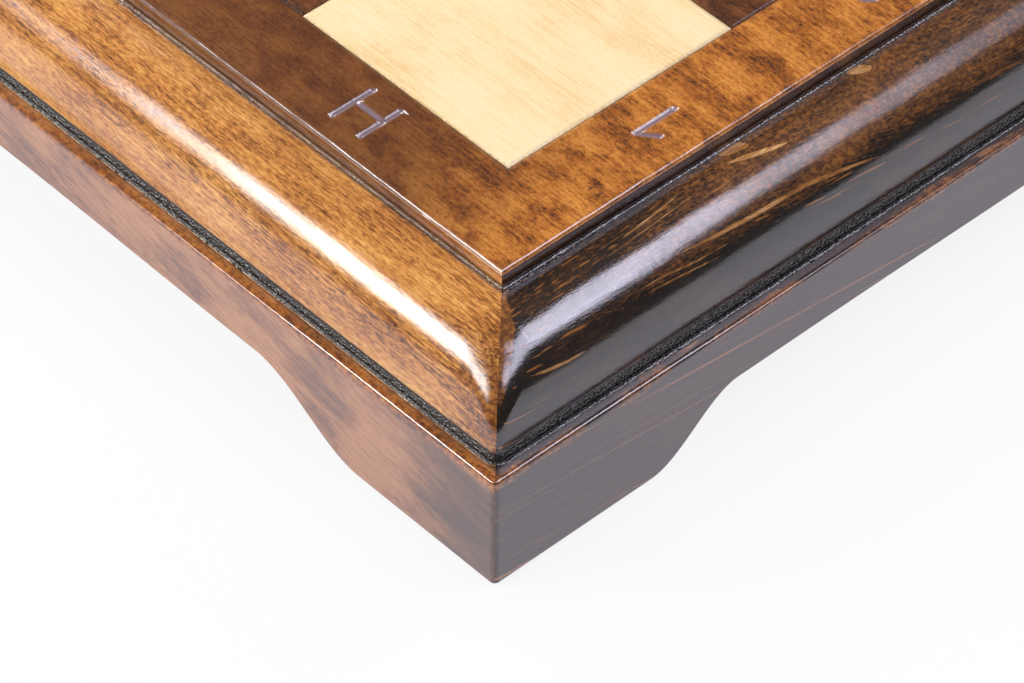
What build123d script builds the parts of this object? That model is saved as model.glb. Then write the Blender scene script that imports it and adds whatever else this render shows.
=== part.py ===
from build123d import *
import os
from math import sqrt

# Chess board: a chequered panel set in a mitred moulding, on aprons with bracket feet.
# Millimetres. The origin is on the table under the board's centre, +Z is up,
# +X runs from file a to file h and +Y from rank 1 to rank 8.

# Playing field
square_side = 45.0           # one square, from seam to seam
squares_across = 8
square_thickness = 4.0       # wood of each square, let into the panel
seam_gap = 0.1               # glue line between two squares
groove_radius = 0.65         # round-nosed groove along every seam, sunk to its radius

# Panel
border_width = 15.3          # flat border from the playing field to the panel's edge
panel_thickness = 12.0
panel_arris_radius = 0.8     # worn top edge of the border
panel_fit = 0.1              # gap between the panel's edge and the rebate wall

# Moulding, seen from the top
moulding_width = 14.8        # from the rebate wall to the foot of the profile
moulding_height = 14.9
rebate_lip_width = 10.7      # lip under the panel's edge
rebate_lip_height = 6.0
round_over_radius = 12.0
cove_radius = 1.0            # small cove under the round-over
cove_fillet_height = 0.4     # upright edge below the cove
moulding_corner_radius = 3.0  # mitred corners are sanded soft

# Aprons with bracket feet
ledge_width = 2.3            # apron top that stands out past the moulding
apron_height = 21.0
apron_thickness = 15.0
apron_corner_radius = 1.0
foot_length = 29.0           # flat under each foot, from the outer corner
ogee_width = 22.0            # reverse curve from the foot up to the raised edge
ogee_rise = 9.6

# Splines across the moulding mitres
spline_length = 12.0         # along the mitre
spline_width = 10.0          # across the mitre
spline_thickness = 2.5
spline_corner_radius = 2.5
spline_inset = 12.0          # centre of the spline in from the moulding's face
spline_fit = 0.1

# Corner blocks and their screws
block_side = 14.0
block_chamfer = 4.0          # inner corner of the block
screw_length = 28.0
screw_diameter = 3.5
screw_head_diameter = 6.5
screw_point_length = 3.0
screw_head_depth = 1.0       # head below the block's face
screw_edge = 4.0             # screw centre in from two sides of the block
screw_fit = 0.3              # clearance hole in the block, over the screw

# Felt pads
pad_diameter = 18.0
pad_thickness = 1.0
pad_inset = 12.0             # pad centre in from both outer faces

# Heights above the table
apron_bottom = pad_thickness
apron_top = apron_bottom + apron_height
moulding_top = apron_top + moulding_height
rebate_floor = apron_top + rebate_lip_height
panel_top = rebate_floor + panel_thickness
recess_floor = panel_top - square_thickness

# Distances from the board's centre, square to a side
field_half = square_side * squares_across / 2
panel_half = field_half + border_width
rebate_wall = panel_half + panel_fit
lip_inner = panel_half - rebate_lip_width
moulding_foot = rebate_wall + moulding_width
moulding_face = moulding_foot - cove_radius
apron_outer = moulding_foot + ledge_width
apron_inner = apron_outer - apron_thickness
block_inner = apron_inner - block_side

os.makedirs("parts", exist_ok=True)
side_turns = {"front": 0, "right": 90, "back": 180, "left": 270}
corner_turns = {"front_right": 0, "back_right": 90, "back_left": 180, "front_left": 270}

# Where the screws stand: two in each corner block, one either side of the mitre
screw_far = apron_inner - screw_edge
screw_near = block_inner + screw_edge
screw_pair = [(screw_far, -screw_near), (screw_near, -screw_far)]
screw_places = [
    (x_side * abs(x), y_side * abs(y))
    for x_side in (-1, 1)
    for y_side in (-1, 1)
    for x, y in screw_pair
]
screw_seat = apron_bottom + screw_head_depth
screw_tip = screw_seat + screw_length


def save(solid, label):
    """Name a finished piece and write it."""
    solid.label = label
    export_step(solid, f"parts/{label}.step")


def turned(solid, turn):
    """The same piece carried round the board's centre to another side."""
    with BuildPart() as piece:
        with Locations(Location((0, 0, 0), (0, 0, turn))):
            add(solid)
    return piece.part


def section_plane(x):
    """Cross-section of the front rail: sketch x is the distance out from the centre, y the height."""
    return Plane(origin=(x, 0, 0), x_dir=(0, -1, 0), z_dir=(-1, 0, 0))


def mitred_rail(section, outer, pivot, top):
    """The front rail of a square frame, cut at 45 degrees at both ends.

    Outside the pivot of each corner the section turns through half of the corner instead
    of being cut, so that two rails meet in a soft edge.
    """
    reach = outer - pivot
    with BuildPart() as rail:
        with BuildSketch(section_plane(0)):
            add(section)
        extrude(amount=outer, both=True)
        for end in (-1, 1):
            split(bisect_by=Plane(origin=(0, 0, 0), z_dir=(-end, -1, 0)), keep=Keep.TOP)
            with BuildSketch(Plane.XY):
                with Locations((end * (pivot + reach / 2), -pivot - reach / 2)):
                    Rectangle(reach, reach)
            extrude(amount=top, mode=Mode.SUBTRACT)
            with BuildSketch(section_plane(end * pivot)):
                add(section)
                with Locations((pivot + reach / 2, top / 2)):
                    Rectangle(reach, top, mode=Mode.INTERSECT)
            revolve(axis=Axis((end * pivot, -pivot, 0), (0, 0, end)), revolution_arc=45)
    return rail.part


# Playing panel: a flat board with a recess for the squares and half of the outer groove
with BuildPart() as playing_panel:
    with BuildSketch(Plane.XY.offset(rebate_floor)):
        Rectangle(2 * panel_half, 2 * panel_half)
    extrude(amount=panel_thickness)
    fillet(playing_panel.faces().sort_by(Axis.Z)[-1].edges(), panel_arris_radius)
    with BuildSketch(Plane.XY.offset(panel_top)):
        Rectangle(2 * field_half, 2 * field_half)
    extrude(amount=-square_thickness, mode=Mode.SUBTRACT)
    with Locations((0, 0, panel_top)):
        with PolarLocations(field_half, 4):
            Cylinder(groove_radius, 2 * field_half, rotation=(90, 0, 0), mode=Mode.SUBTRACT)
    with BuildSketch(Plane.XY.offset(rebate_floor)):
        with Locations(*screw_places):
            Circle(screw_diameter / 2)
    extrude(amount=screw_tip - rebate_floor, mode=Mode.SUBTRACT)
save(playing_panel.part, "playing_panel")


# One square, with its share of the seam groove along each top edge
with BuildPart() as square:
    with BuildSketch(Plane.XY.offset(recess_floor)):
        Rectangle(square_side - seam_gap, square_side - seam_gap)
    extrude(amount=square_thickness)
    with Locations((0, 0, panel_top)):
        with PolarLocations(square_side / 2, 4):
            Cylinder(groove_radius, square_side, rotation=(90, 0, 0), mode=Mode.SUBTRACT)

# Square a1 is dark, and the colours change at every seam
for rank in range(squares_across):
    y = (rank + 0.5) * square_side - field_half
    for colour, first_file in (("dark", rank % 2), ("light", (rank + 1) % 2)):
        files = range(first_file, squares_across, 2)
        with BuildPart() as row:
            with Locations(*[((file + 0.5) * square_side - field_half, y) for file in files]):
                add(square.part)
        save(row.part, f"{colour}_squares_rank_{rank + 1}")


# Moulding section: rebate and its lip, flat top, round-over, upright face, cove and fillet
with BuildSketch() as moulding_section:
    round_start = (moulding_face - round_over_radius, moulding_top)
    round_end = (moulding_face, moulding_top - round_over_radius)
    cove_end = (moulding_foot, apron_top + cove_fillet_height)
    cove_start = (moulding_face, apron_top + cove_fillet_height + cove_radius)
    with BuildLine():
        Polyline(round_start, (rebate_wall, moulding_top), (rebate_wall, rebate_floor),
                 (lip_inner, rebate_floor), (lip_inner, apron_top), (moulding_foot, apron_top), cove_end)
        RadiusArc(cove_end, cove_start, cove_radius)
        Line(cove_start, round_end)
        RadiusArc(round_end, round_start, -round_over_radius)
    make_face()


def spline(clearance):
    """The loose tongue across the front right mitre, or its slot when it has a clearance."""
    centre = (moulding_face - spline_inset) * sqrt(2)
    level = (apron_top + rebate_floor) / 2
    with BuildPart() as tongue:
        with BuildSketch(Plane(origin=(0, 0, level), x_dir=(1, -1, 0), z_dir=(0, 0, 1))):
            with Locations((centre, 0)):
                RectangleRounded(spline_length + 2 * clearance, spline_width + 2 * clearance,
                                 spline_corner_radius)
        extrude(amount=spline_thickness / 2 + clearance, both=True)
    return tongue.part


# Mouldings
moulding_pivot = moulding_face - moulding_corner_radius
moulding_bar = mitred_rail(moulding_section.sketch, moulding_foot, moulding_pivot, moulding_top)
spline_slot = spline(spline_fit)
with BuildPart() as moulding:
    add(moulding_bar)
    with Locations(*[Location((0, 0, 0), (0, 0, corner_turns[corner]))
                     for corner in ("front_left", "front_right")]):
        add(spline_slot, mode=Mode.SUBTRACT)
    with BuildSketch(Plane.XY.offset(apron_top)):
        with Locations(*screw_places):
            Circle(screw_diameter / 2)
    extrude(amount=rebate_lip_height, mode=Mode.SUBTRACT)
for side, turn in side_turns.items():
    save(turned(moulding.part, turn), f"moulding_{side}")
mitre_spline = spline(0)
for corner, turn in corner_turns.items():
    save(turned(mitre_spline, turn), f"mitre_spline_{corner}")


# Aprons: upright boards whose lower edge sweeps up between the feet in a reverse curve of
# two equal arcs
with BuildSketch() as apron_section:
    with Locations(((apron_outer + apron_inner) / 2, apron_bottom + apron_height / 2)):
        Rectangle(apron_thickness, apron_height)
ogee_radius = (ogee_width**2 + ogee_rise**2) / (4 * ogee_rise)
foot_end = apron_outer - foot_length
ogee_end = foot_end - ogee_width
raised_level = apron_bottom + ogee_rise
apron_pivot = apron_outer - apron_corner_radius
apron_bar = mitred_rail(apron_section.sketch, apron_outer, apron_pivot, apron_top)
with BuildPart() as apron:
    add(apron_bar)
    with BuildSketch(Plane.XZ.offset(apron_inner)):
        with BuildLine():
            ogee_middle = ((foot_end + ogee_end) / 2, (apron_bottom + raised_level) / 2)
            Polyline((0, 0), (foot_end, 0), (foot_end, apron_bottom))
            RadiusArc((foot_end, apron_bottom), ogee_middle, ogee_radius)
            RadiusArc(ogee_middle, (ogee_end, raised_level), -ogee_radius)
            Line((ogee_end, raised_level), (0, raised_level))
            mirror(about=Plane.YZ)
        make_face()
    extrude(amount=apron_thickness, mode=Mode.SUBTRACT)
for side, turn in side_turns.items():
    save(turned(apron.part, turn), f"apron_{side}")


# Corner blocks: glued inside the apron corners, flush with the feet, each drilled for two screws
with BuildPart() as corner_block:
    with BuildSketch(Plane.XY.offset(apron_bottom)):
        with Locations((block_inner + block_side / 2, -block_inner - block_side / 2)):
            Rectangle(block_side, block_side)
    extrude(amount=apron_height)
    chamfer(corner_block.edges().filter_by(Axis.Z).sort_by_distance((0, 0, 0))[0], block_chamfer)
    with Locations(*[Plane((x, y, apron_bottom), z_dir=(0, 0, -1)) for x, y in screw_pair]):
        CounterSinkHole((screw_diameter + screw_fit) / 2, screw_head_diameter / 2 + screw_head_depth,
                        counter_sink_angle=90)
for corner, turn in corner_turns.items():
    save(turned(corner_block.part, turn), f"corner_block_{corner}")


# Screws: countersunk head down, up through the blocks and mouldings into the panel
with BuildPart() as screw:
    with BuildSketch(Plane.XZ):
        head = screw_head_diameter / 2
        shank = screw_diameter / 2
        with BuildLine():
            Polyline((0, 0), (head, 0), (shank, head - shank),
                     (shank, screw_length - screw_point_length), (0, screw_length), close=True)
        make_face()
    revolve(axis=Axis.Z)
with BuildPart() as block_screws:
    with Locations(*[(x, y, screw_seat) for x, y in screw_places]):
        add(screw.part)
save(block_screws.part, "block_screws")


# Felt pads under the feet
with BuildPart() as felt_pad:
    with BuildSketch():
        with Locations((apron_outer - pad_inset, pad_inset - apron_outer)):
            Circle(pad_diameter / 2)
    extrude(amount=pad_thickness)
for corner, turn in corner_turns.items():
    save(turned(felt_pad.part, turn), f"felt_pad_{corner}")
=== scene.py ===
from functools import partial

import bpy
import numpy as np
from mathutils import Matrix, Vector


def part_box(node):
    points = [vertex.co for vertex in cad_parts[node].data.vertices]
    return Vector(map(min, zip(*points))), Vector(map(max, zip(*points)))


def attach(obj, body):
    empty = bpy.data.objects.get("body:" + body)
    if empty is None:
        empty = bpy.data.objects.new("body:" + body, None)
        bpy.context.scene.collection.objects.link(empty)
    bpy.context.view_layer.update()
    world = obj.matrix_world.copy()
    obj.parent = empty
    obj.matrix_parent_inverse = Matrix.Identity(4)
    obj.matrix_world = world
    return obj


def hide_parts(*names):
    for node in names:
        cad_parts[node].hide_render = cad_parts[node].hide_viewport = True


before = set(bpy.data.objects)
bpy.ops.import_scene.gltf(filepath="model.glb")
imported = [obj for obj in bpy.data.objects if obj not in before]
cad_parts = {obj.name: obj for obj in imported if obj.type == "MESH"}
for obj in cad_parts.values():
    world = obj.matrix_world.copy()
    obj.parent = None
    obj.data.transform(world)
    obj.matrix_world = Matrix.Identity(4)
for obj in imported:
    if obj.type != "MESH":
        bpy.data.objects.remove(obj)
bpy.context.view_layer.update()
mm = 0.001
print("frame loaded:", len(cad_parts), "nodes")


# Sizes, read from the frame, in millimetres

def span(node):
    # lowest and highest corner of a node's box
    low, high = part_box(node)
    return np.array(low) / mm, np.array(high) / mm


panelLow, panelHigh = span("playing_panel")
mouldingLow, mouldingHigh = span("moulding_front")
apronLow, apronHigh = span("apron_front")
panelTop = panelHigh[2]            # playing surface
panelFloor = panelLow[2]           # underside of the panel, on the rebate lip
panelHalf = panelHigh[0]
mouldingTop = mouldingHigh[2]
apronTop = apronHigh[2]
apronFoot = apronLow[2]
apronOuter = -apronLow[1]
squareSide = 45.0
fieldHalf = 4 * squareSide
lipInner = panelHalf - 10.7        # inner edge of the rebate lip under the panel
sideTurns = {"front": 0, "right": 1, "back": 2, "left": 3}   # quarter turns from the front


# Meshes

def turned(points, quarters):
    # x and y turned by whole quarters about the board's centre
    x, y, z = points[..., 0], points[..., 1], points[..., 2]
    for _ in range(quarters):
        x, y = -y, x
    return np.stack([x, y, z], axis=-1)


def gridQuads(rows, cols, closed=False):
    # corner numbers of the quads of a rows x cols grid, row by row, the columns joined up if closed
    r = np.arange(rows - 1)[:, None]
    c = np.arange(cols if closed else cols - 1)[None, :]
    d = (c + 1) % cols
    return np.stack([r * cols + c, r * cols + d, (r + 1) * cols + d, (r + 1) * cols + c], -1).reshape(-1, 4)


def solidVolume(points, faces):
    # signed volume from fans of triangles, which says whether the faces point outwards
    total = 0.0
    for block in faces:
        a = points[block[:, 0]]
        for k in range(1, block.shape[1] - 1):
            total += np.einsum("ij,ij->i", a, np.cross(points[block[:, k]], points[block[:, k + 1]])).sum()
    return total / 6


def addPiece(name, points, faces, materials, faceFinish=None, fields=None, sharp=40, replaces=()):
    # one mesh from whole arrays: points in millimetres, faces as blocks of equal corner counts
    points = points.reshape(-1, 3)
    if solidVolume(points, faces) < 0:
        faces = [block[:, ::-1] for block in faces]
    loops = np.concatenate([block.ravel() for block in faces]).astype(np.int32)
    counts = np.concatenate([np.full(len(block), block.shape[1]) for block in faces]).astype(np.int32)
    starts = np.concatenate([[0], np.cumsum(counts)[:-1]]).astype(np.int32)
    mesh = bpy.data.meshes.new(name)
    mesh.vertices.add(len(points))
    mesh.vertices.foreach_set("co", (points * mm).astype(np.float32).ravel())
    mesh.loops.add(len(loops))
    mesh.loops.foreach_set("vertex_index", loops)
    mesh.polygons.add(len(counts))
    mesh.polygons.foreach_set("loop_start", starts)
    mesh.polygons.foreach_set("use_smooth", np.ones(len(counts), bool))
    for material in materials:
        mesh.materials.append(material)
    if faceFinish is not None:
        mesh.polygons.foreach_set("material_index", faceFinish.astype(np.int32))
    mesh.update()
    mesh.validate()
    for key, values in (fields or {}).items():
        kind, part = ("FLOAT_VECTOR", "vector") if values.size > len(points) else ("FLOAT", "value")
        mesh.attributes.new(key, kind, "POINT").data.foreach_set(part, values.astype(np.float32).ravel())
    mesh.set_sharp_from_angle(angle=np.radians(sharp))
    piece = bpy.data.objects.new(name, mesh)
    bpy.context.scene.collection.objects.link(piece)
    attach(piece, "root")
    if replaces:
        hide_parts(*replaces)


def drift(along, seed, lengths, sizes):
    # slow unevenness of hand work: a sum of sines of the given wavelengths and heights, with seeded phases
    phases = np.random.default_rng(seed).uniform(0, 2 * np.pi, len(lengths))
    return sum(size * np.sin(2 * np.pi * along / length + phase)
               for length, size, phase in zip(lengths, sizes, phases))


def beads(along, seed, spacing):
    # uneven lacquer: seeded random values at even spacing, joined by smooth steps, from -1 to 1
    knots = np.random.default_rng(seed).uniform(-1, 1, 2048)
    place = along / spacing + 1024
    k = np.floor(place).astype(int)
    f = place - k
    f = f * f * (3 - 2 * f)
    return knots[k % 2048] * (1 - f) + knots[(k + 1) % 2048] * f


def softStep(low, high, value):
    # 0 below low, 1 above high, a smooth cubic between
    f = np.clip((value - low) / (high - low), 0, 1)
    return f * f * (3 - 2 * f)


def spots(points, places):
    # sum of soft ellipses: each has a centre, its reach along x, y and z, and its strength
    total = np.zeros(points.shape[:-1])
    for centre, reach, strength in places:
        away = ((points - np.array(centre)) / np.array(reach)) ** 2
        total += strength * np.exp(-away.sum(-1))
    return np.clip(total, 0, 1)


def strokeDistance(x, y, path):
    # shortest way from each point to a run of straight strokes
    best = np.full(x.shape, 1e3)
    for (x0, y0), (x1, y1) in zip(path[:-1], path[1:]):
        dx, dy = x1 - x0, y1 - y0
        f = np.clip(((x - x0) * dx + (y - y0) * dy) / max(dx * dx + dy * dy, 1e-9), 0, 1)
        best = np.minimum(best, np.hypot(x - x0 - f * dx, y - y0 - f * dy))
    return best


# Materials

def linear(text):
    # sRGB hex to a linear colour
    c = np.array([int(text[k:k + 2], 16) for k in (1, 3, 5)]) / 255
    return (*np.where(c <= 0.04045, c / 12.92, ((c + 0.055) / 1.055) ** 2.4), 1.0)


def addNode(tree, kind, settings=None, inputs=None, stops=None):
    # settings are the node's properties, an input is a value or a socket to link from; gives its outputs
    node = tree.nodes.new("ShaderNode" + kind)
    for key, value in (settings or {}).items():
        setattr(node, key, value)
    for key, value in (inputs or {}).items():
        if isinstance(value, bpy.types.NodeSocket):
            tree.links.new(value, node.inputs[key])
        else:
            node.inputs[key].default_value = value
    if stops:
        ramp = node.color_ramp
        while len(ramp.elements) < len(stops):
            ramp.elements.new(0.5)
        for element, (place, colour) in zip(ramp.elements, stops):
            element.position = place
            element.color = linear(colour) if isinstance(colour, str) else (colour, colour, colour, 1)
    return node.outputs


def clearTree(owner):
    # the emptied node tree of a material, lamp or world
    owner.use_nodes = True
    owner.node_tree.nodes.clear()
    return owner.node_tree


def newMaterial(name):
    # an empty material, and what adds a node to it
    material = bpy.data.materials.new(name)
    return material, partial(addNode, clearTree(material))


def stainStops(stain):
    # a stain's darkest, middle and palest colour, by the tone from 0 to 1
    return list(zip((0.08, 0.48, 0.92), stain))


times, plus, minus, greater, scaled = ({"operation": kind} for kind in
                                       ("MULTIPLY", "ADD", "SUBTRACT", "MAXIMUM", "MULTIPLY_ADD"))
smooth = {"interpolation_type": "SMOOTHSTEP"}
usual = {"From Min": 0.36, "From Max": 0.64}     # the range that a noise usually keeps to
colours = {"data_type": "RGBA"}


def lacqueredBeech(name, look):
    # Beech, wiped with walnut stain and flooded with gloss lacquer. Stain takes unevenly, so the eye gets
    # clouds a centimetre across, fibres, and the wood's short dark flecks, all under a mirror-smooth coat.
    material, add = newMaterial(name)
    coords = add("TexCoord")["Object"]
    if look.get("shifted"):
        shift = add("Attribute", {"attribute_name": "grainShift"})["Vector"]
        coords = add("VectorMath", plus, {0: coords, 1: shift})[0]
    turn = [np.radians(a) for a in look["turn"]]
    wood = add("Mapping", {}, {"Vector": coords, "Location": look["place"], "Rotation": turn})[0]

    def grain(along, across, detail, rough=0.5, warp=0.0):
        # noise stretched along the grain; along and across are its sizes in millimetres
        scale = (1 / (along * mm), 1 / (across * mm), 1 / (across * mm))
        vector = add("VectorMath", times, {0: wood, 1: scale})[0]
        return add("TexNoise", {}, {"Vector": vector, "Scale": 1.0, "Detail": detail, "Roughness": rough,
                                    "Distortion": warp})["Fac"]

    # tone of the stain: clouds, flecks and fibres, each spread over its usual range and given its share
    flecks = grain(*look["fleck"], 3.0, 0.65, 0.5)
    cloudShare, fleckShare = look["shares"]
    tone = 0.0
    fibres = grain(11.0, 0.45, 3.0, 0.6, 0.3)
    for pattern, low, high, share in ((grain(*look["cloud"], 4.0, 0.6), 0.36, 0.64, cloudShare),
                                      (flecks, 0.36, 0.62, fleckShare),
                                      (fibres, 0.34, 0.66, 1 - cloudShare - fleckShare)):
        part = add("MapRange", smooth, {"Value": pattern, "From Min": low, "From Max": high, "To Max": share})[0]
        tone = add("Math", plus, {0: tone, 1: part})[0]

    # vertex fields, in order: how far the stain is worn back, which also carries paler or darker colour painted in
    # as highlight, reflection and shade; the way to a pale grain; where the stain is darker; where stain and lacquer
    # collect, which also paints the shade of hollows and creases dark; the bottom of the cut signs, given a painted
    # reflection
    field = {key: add("Attribute", {"attribute_name": key})["Fac"]
             for key in ("rubbed", "grainAway", "deepened", "pooled", "engraved")}
    layers = []     # what lies over the stain: how much of it shows, and its colour
    if "lineColour" in look:
        # growth lines that the stain didn't darken: a noise drawn out so far along the grain that it makes
        # long parallel lines, shown only in patches
        lines = add("MapRange", smooth, {"Value": grain(190.0, look["lineGap"], 1.0),
                                         "From Min": 0.6, "From Max": 0.68})[0]
        patches = add("MapRange", smooth, {"Value": grain(50.0, 3.0, 2.0), "From Min": look["lineCut"],
                                           "From Max": look["lineCut"] + 0.1})[0]
        layers.append((add("Math", times, {0: lines, 1: patches})[0], linear(look["lineColour"])))
    streaks = add("Math", scaled, {0: grain(*look["streak"], 3.0, 0.65, 0.4), 1: look["ragged"],
                                   2: -0.5 * look["ragged"]})[0]
    # the worn layer: stain worn back, and also paler or darker colour painted in as highlight, reflection and shade
    rubbed = add("Math", plus, {0: field["rubbed"], 1: streaks})[0]
    rubbed = add("MapRange", smooth, {"Value": rubbed, **usual})[0]
    mottle = add("TexNoise", {}, {"Vector": coords, "Scale": 1 / (0.8 * mm), "Detail": 3.0,
                                  "Roughness": 0.65})["Fac"]
    mottle = add("MapRange", smooth, {"Value": mottle, **usual, "To Max": 0.5})[0]
    wearAndPaintedLightTone = add("Math", scaled, {0: tone, 1: 0.5, 2: mottle})[0]
    layers.append((rubbed, add("ValToRGB", {}, {"Fac": wearAndPaintedLightTone}, stainStops(look["wearAndPaintedLightStain"]))["Color"]))
    if "paleStain" in look:
        away = add("Math", scaled, {0: streaks, 1: 0.1, 2: field["grainAway"]})[0]
        away = add("MapRange", smooth, {"Value": away, "From Min": 0.1, "From Max": -0.06})[0]
        layers.append((away, add("ValToRGB", {}, {"Fac": tone}, stainStops(look["paleStain"]))["Color"]))
    deep = add("Math", times, {0: field["deepened"], 1: 0.76})[0]
    speckle = add("Math", scaled, {0: grain(0.5, 0.3, 2.0, 0.6), 1: 1.2, 2: -0.6})[0]
    speckle = add("Math", plus, {0: field["pooled"], 1: speckle})[0]
    speckle = add("MapRange", smooth, {"Value": speckle, "From Min": 0.1, "From Max": 0.5})[0]
    pooled = add("Math", times, {0: field["pooled"], 1: speckle})[0]
    # the pool colour is stain that collects, and also the painted shade of hollows and creases
    layers += [(deep, linear(look.get("deepStain", look["stain"][0]))), (pooled, linear(look["poolAndPaintedShadeColour"])),
               (field["engraved"], linear(look["engravedReflectionColour"]))]
    colour = add("ValToRGB", {}, {"Fac": tone}, stainStops(look["stain"]))["Color"]
    for share, over in layers:
        colour = add("Mix", colours, {0: share, 6: colour, 7: over})[2]

    # lacquer: the flecks telegraph through as faint dents, the film has its own slow ripple and brush
    # strokes, and over collected stain and painted shade it is frothy and too dull to mirror much
    ripple = add("TexNoise", {}, {"Vector": coords, "Scale": 1 / (1.6 * mm), "Detail": 2.0})["Fac"]
    grit = add("TexNoise", {}, {"Vector": coords, "Scale": 1 / (0.35 * mm), "Detail": 1.0})["Fac"]
    froth = add("Math", times, {0: pooled, 1: grit})[0]
    relief = 0.0
    for pattern, height in ((ripple, look["ripple"]), (flecks, look["dent"]), (grain(24.0, 1.5, 2.0), look["brush"]),
                            (froth, look["froth"])):
        relief = add("Math", scaled, {0: pattern, 1: height, 2: relief})[0]
    film = add("Math", scaled, {0: pooled, 1: -look["dulled"], 2: 1.0})[0]
    normal = add("Bump", {}, {"Height": relief, "Strength": 1.0, "Distance": 1.0 * mm})[0]
    shader = add("BsdfPrincipled", {}, {
        "Base Color": colour, "Roughness": look["roughness"], "Specular IOR Level": 0.2, "IOR": 1.5,
        "Coat Weight": film, "Coat Roughness": look["coat"], "Coat IOR": look["coatBend"],
        "Normal": normal, "Coat Normal": normal})
    add("OutputMaterial", {}, {0: shader[0]})
    return material


# what a wood's look may say: the grain's turn in degrees and its place, the sizes along and across the grain
# of its clouds, flecks, streaks and line gaps in millimetres, the shares of clouds and flecks in the tone,
# stains from dark to pale, the coat's roughness and index, and the heights of its unevenness in millimetres
# the engraved colour is a painted lilac-grey reflection in the cut signs
baseLook = {"turn": (0, 0, 0), "place": (0, 0, 0), "cloud": (16, 7), "fleck": (1.3, 0.24), "shares": (0.4, 0.4),
            "ragged": 2.2, "streak": (3.2, 0.26), "wearAndPaintedLightStain": ("#4A2410", "#8A4C1C", "#C07A34"),
            "roughness": 0.5, "coat": 0.07, "coatBend": 1.9, "ripple": 0.01, "dent": 0.012, "brush": 0.012,
            "froth": 0.06, "dulled": 0.0, "poolAndPaintedShadeColour": "#2A1D14", "engravedReflectionColour": "#86727A"}
# the golden look's worn stain is a darker brown, painted in as shade on the front moulding
goldenLook = {**baseLook, "turn": (0, -3, 0), "stain": ("#6E3A10", "#C98036", "#F0B35F"), "cloud": (22, 8),
              "shares": (0.3, 0.42), "poolAndPaintedShadeColour": "#261B12", "froth": 0.2, "dent": 0.02, "brush": 0.022,
              "coat": 0.05, "dulled": 0.4, "wearAndPaintedLightStain": ("#3A1A08", "#824718", "#C07C32")}
ebonyLook = {**baseLook, "turn": (7, 0, -90), "stain": ("#0C0705", "#1D130B", "#42270F"), "shares": (0.4, 0.3),
             "lineGap": 0.5, "lineCut": 0.5, "lineColour": "#A2652A", "fleck": (1.6, 0.24),
             "wearAndPaintedLightStain": ("#44260E", "#74441B", "#A86C2E"), "paleStain": ("#7A4818", "#BC8040", "#E4B880"),
             "ragged": 0.9, "streak": (1.5, 0.24), "brush": 0.03, "poolAndPaintedShadeColour": "#120E0B", "froth": 0.12}
tanLook = {**baseLook, "turn": (0, -12, 0), "stain": ("#643E2A", "#9E673F", "#C08656"), "cloud": (14, 6),
           "deepStain": "#20140E", "fleck": (2.2, 0.3), "shares": (0.5, 0.25),
           "wearAndPaintedLightStain": ("#3A1B08", "#8C4B17", "#C07A2C")}
umberLook = {**baseLook, "turn": (7, 0, -90), "stain": ("#281A15", "#38251E", "#4C3428"), "cloud": (24, 6),
             "shares": (0.5, 0.2), "lineGap": 1.1, "lineCut": 0.45, "lineColour": "#A46E46",
             "wearAndPaintedLightStain": ("#3A1F10", "#7A4620", "#B8783A"), "poolAndPaintedShadeColour": "#241A14", "dulled": 0.5, "froth": 0.03,
             "ragged": 1.2}
# the panel's worn stain is a pale tan, painted on the front border's arris as a highlight and on its wall as a
# reflection
panelLook = {**baseLook, "stain": ("#4E260A", "#AC631F", "#DE9440"), "cloud": (8, 5), "fleck": (0.8, 0.34),
             "shares": (0.45, 0.33), "wearAndPaintedLightStain": ("#9A6C50", "#C0906E", "#D8AC84"), "poolAndPaintedShadeColour": "#2A1710",
             "ragged": 1.0}
darkSquareLook = {**panelLook, "shifted": True, "stain": ("#33180A", "#5F3314", "#874D22")}
lightSquareLook = {**panelLook, "shifted": True, "stain": ("#F3CB8C", "#FFE0AA", "#FFEABC"), "cloud": (24, 14),
                   "shares": (0.5, 0.2), "poolAndPaintedShadeColour": "#6A4A30"}
looks = {
    "mouldingFront": ("golden_stained_beech", goldenLook),
    "mouldingRight": ("ebony_stained_beech", ebonyLook),
    "mouldingBack": ("brown_stained_beech_x", {
        **goldenLook, "stain": ("#42200C", "#7A451D", "#AA6C34"), "place": (0.3, 0.1, 0.2)}),
    "mouldingLeft": ("brown_stained_beech_y", {
        **goldenLook, "turn": (0, 0, -90), "stain": ("#552B10", "#915723", "#C48440"), "place": (0.5, 0.2, 0.4)}),
    "apronFront": ("tan_stained_beech", tanLook),
    "apronRight": ("umber_stained_beech", umberLook),
    "apronBack": ("tan_stained_beech_x", {
        **tanLook, "stain": ("#3C2216", "#6C4228", "#8F5E3A"), "place": (0.2, 0.6, 0.1)}),
    "apronLeft": ("tan_stained_beech_y", {
        **tanLook, "turn": (0, 0, -90), "stain": ("#452A1A", "#7C4F2E", "#A26E44"), "place": (0.7, 0.1, 0.3)}),
    "panel": ("panel_stained_beech", panelLook),
    "darkSquare": ("dark_square_beech", darkSquareLook),
    "lightSquare": ("light_square_beech", lightSquareLook)}
finishes = {key: lacqueredBeech(name, look) for key, (name, look) in looks.items()}


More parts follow.
